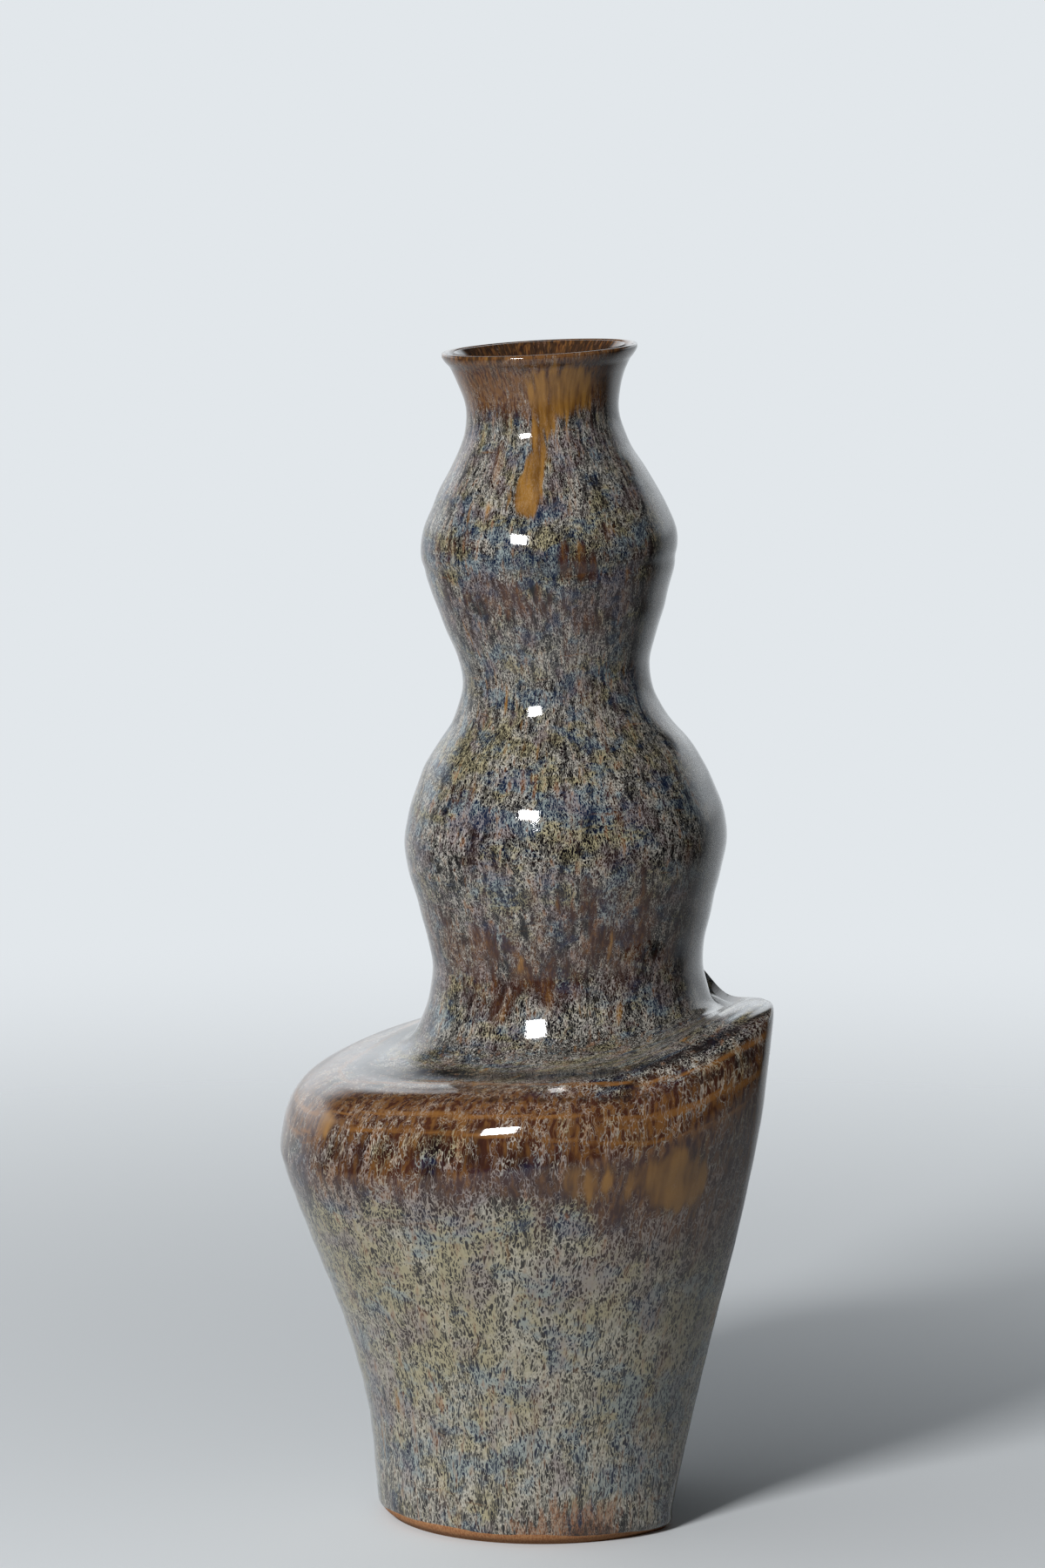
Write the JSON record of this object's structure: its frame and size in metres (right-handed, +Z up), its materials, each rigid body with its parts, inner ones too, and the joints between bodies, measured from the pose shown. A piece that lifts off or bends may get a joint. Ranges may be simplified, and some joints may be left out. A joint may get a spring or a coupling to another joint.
{
  "type": "wall vase",
  "caption": "Flat-backed stoneware wall vase: a tapered body with a sloping shoulder under a tall bulbed neck with a flared lip. Holds cut stems and hangs by a keyhole in its back.",
  "frame": {"origin": "middle of the foot's flat underside, on the surface that the vase stands on", "axes": "+Z up to the lip, +Y towards the wall, +X to the right as seen from the front, facing the wall, mirror plane X = 0"},
  "size_m": [0.1384, 0.1169, 0.3003],
  "materials": {
    "glaze": "glossy streaked stoneware glaze, blue, ochre and lavender over brown, breaking amber on edges",
    "liner": "glossy dark brown liner glaze on the inside",
    "bare_clay": "bare fired stoneware, toasted orange brown"
  },
  "bodies": {
    "root": {"foot_slab": "bare_clay", "back_slab": "glaze", "lower_wall": "glaze", "belly_wall": "glaze", "shoulder_turn": "glaze", "shoulder_deck": "glaze", "neck_root": "glaze", "neck_lower_bulb": "glaze", "neck_waist": "glaze", "neck_upper_bulb": "glaze", "rim_collar": "glaze", "hanger_pocket": "bare_clay", "foot_seam_coil": "liner", "back_seam_coil_left": "liner", "back_seam_coil_right": "liner", "shoulder_seam_coil": "liner", "neck_root_coil": "liner"}
  },
  "joints": []
}
